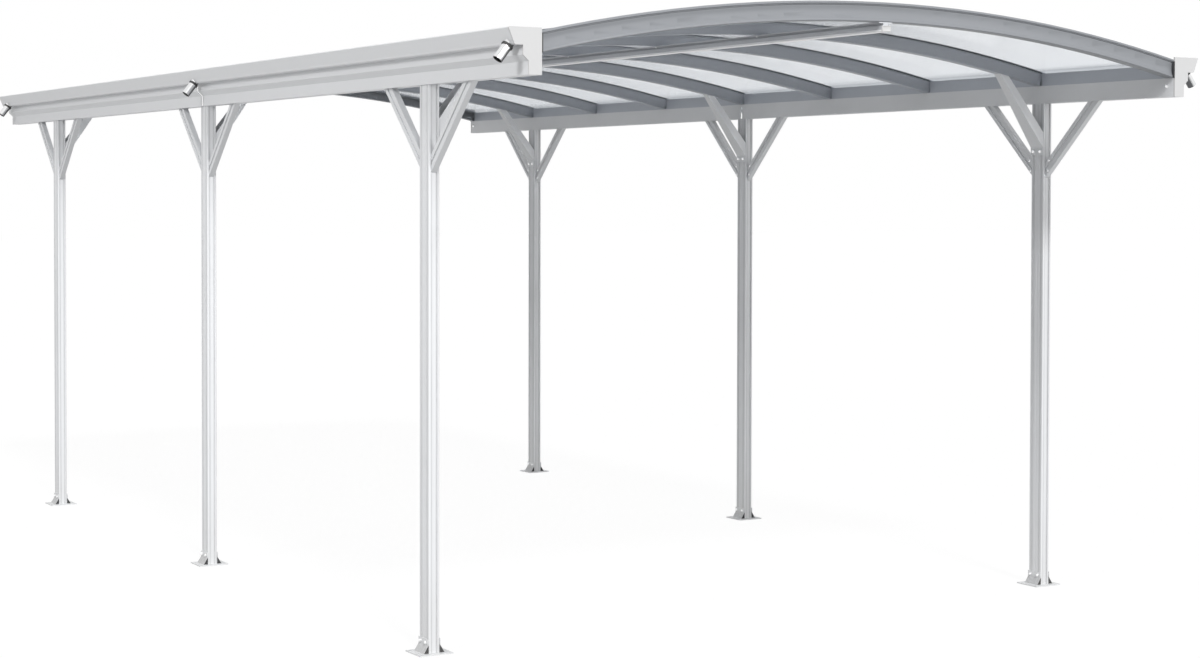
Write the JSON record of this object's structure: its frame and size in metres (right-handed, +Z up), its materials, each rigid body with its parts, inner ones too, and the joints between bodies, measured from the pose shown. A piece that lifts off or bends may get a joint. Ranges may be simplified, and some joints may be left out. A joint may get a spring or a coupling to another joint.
{
  "type": "carport",
  "caption": "Free-standing arched carport: slim braced posts, gutter beams with drain spouts, curved ribs and pale clear roof sheets; shelters a parked car.",
  "frame": {"origin": "middle of the footprint at ground level", "axes": "+Z up; +Y along the carport from front to back; +X across it, to the right seen from the front"},
  "size_m": [3.2214, 6.344, 2.4186],
  "materials": {
    "powder_coat": "silver-grey powder-coated aluminium, satin",
    "roof_sheet": "pale translucent twin-wall sheet",
    "cap_plastic": "near-white moulded plastic",
    "bright_tube": "bright bare metal tube"
  },
  "bodies": {
    "root": {"post_front_left": "powder_coat", "post_front_right": "powder_coat", "post_middle_left": "powder_coat", "post_middle_right": "powder_coat", "post_back_left": "powder_coat", "post_back_right": "powder_coat", "foot_front_left": "powder_coat", "foot_front_right": "powder_coat", "foot_middle_left": "powder_coat", "foot_middle_right": "powder_coat", "foot_back_left": "powder_coat", "foot_back_right": "powder_coat", "gutter_beam_left_front": "powder_coat", "gutter_beam_left_back": "powder_coat", "gutter_beam_right_front": "powder_coat", "gutter_beam_right_back": "powder_coat", "end_cap_front_left": "cap_plastic", "end_cap_front_right": "cap_plastic", "end_cap_back_left": "cap_plastic", "end_cap_back_right": "cap_plastic", "spouts_left": "bright_tube", "spouts_right": "bright_tube", "edge_arch_front": "powder_coat", "edge_arch_back": "powder_coat", "rib_1": "powder_coat", "rib_2": "powder_coat", "rib_3": "powder_coat", "rib_4": "powder_coat", "rib_5": "powder_coat", "rib_6": "powder_coat", "rib_7": "powder_coat", "roof_panel_1": "roof_sheet", "roof_panel_2": "roof_sheet", "roof_panel_3": "roof_sheet", "roof_panel_4": "roof_sheet", "roof_panel_5": "roof_sheet", "roof_panel_6": "roof_sheet", "roof_panel_7": "roof_sheet", "roof_panel_8": "roof_sheet", "eaves_rails_left": "powder_coat", "eaves_rails_right": "powder_coat", "ridge_purlin": "powder_coat", "knee_braces_front_left": "powder_coat", "knee_braces_front_right": "powder_coat", "knee_braces_middle_left": "powder_coat", "knee_braces_middle_right": "powder_coat", "knee_braces_back_left": "powder_coat", "knee_braces_back_right": "powder_coat"}
  },
  "joints": []
}
